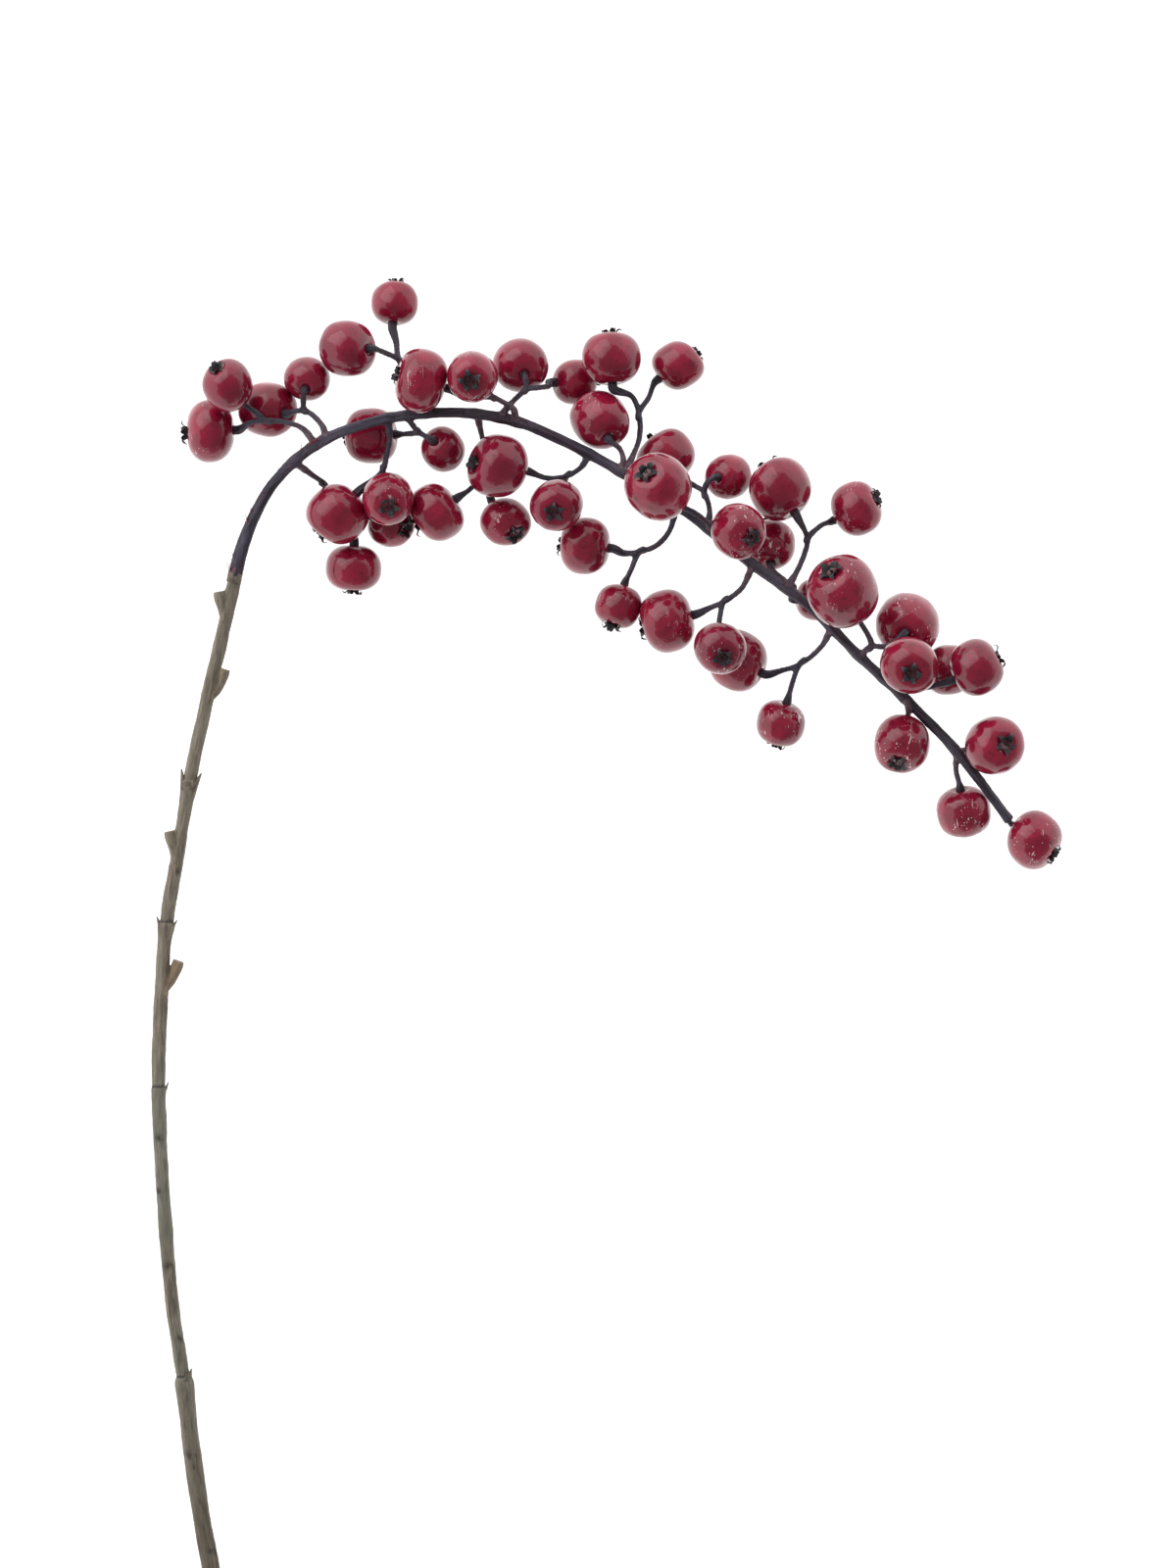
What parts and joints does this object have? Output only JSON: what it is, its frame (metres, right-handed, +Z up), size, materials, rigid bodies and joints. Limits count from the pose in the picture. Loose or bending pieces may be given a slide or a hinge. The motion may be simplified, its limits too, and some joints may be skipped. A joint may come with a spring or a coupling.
{
  "type": "firethorn berry sprig",
  "caption": "Cut firethorn sprig lying down: a bare cane and an arching branch with forked twigs of round red fruit.",
  "frame": {"origin": "on the surface the sprig lies on, below the middle of its box", "axes": "+Z up from the surface, +Y along the cane towards the fruiting end, +X towards the branch's tip"},
  "size_m": [0.1403, 0.2072, 0.0226],
  "materials": {
    "pome_skin": "glossy",
    "branch_bark": "satin",
    "cane_bark": "matte",
    "calyx_husk": "matte"
  },
  "bodies": {
    "root": {"cane": "cane_bark", "berry_branch": "branch_bark", "berry_01": "pome_skin", "berry_02": "pome_skin", "berry_03": "pome_skin", "berry_04": "pome_skin", "berry_05": "pome_skin", "berry_06": "pome_skin", "berry_07": "pome_skin", "berry_08": "pome_skin", "berry_09": "pome_skin", "berry_10": "pome_skin", "berry_11": "pome_skin", "berry_12": "pome_skin", "berry_13": "pome_skin", "berry_14": "pome_skin", "berry_15": "pome_skin", "berry_16": "pome_skin", "berry_17": "pome_skin", "berry_18": "pome_skin", "berry_19": "pome_skin", "berry_20": "pome_skin", "berry_21": "pome_skin", "berry_22": "pome_skin", "berry_23": "pome_skin", "berry_24": "pome_skin", "berry_25": "pome_skin", "berry_26": "pome_skin", "berry_27": "pome_skin", "berry_28": "pome_skin", "berry_29": "pome_skin", "berry_30": "pome_skin", "berry_31": "pome_skin", "berry_32": "pome_skin", "berry_33": "pome_skin", "berry_34": "pome_skin", "berry_35": "pome_skin", "berry_36": "pome_skin", "berry_37": "pome_skin", "berry_38": "pome_skin", "berry_39": "pome_skin", "berry_40": "pome_skin", "berry_41": "pome_skin", "berry_42": "pome_skin", "berry_43": "pome_skin", "berry_44": "pome_skin", "berry_45": "pome_skin", "berry_46": "pome_skin"}
  },
  "joints": []
}
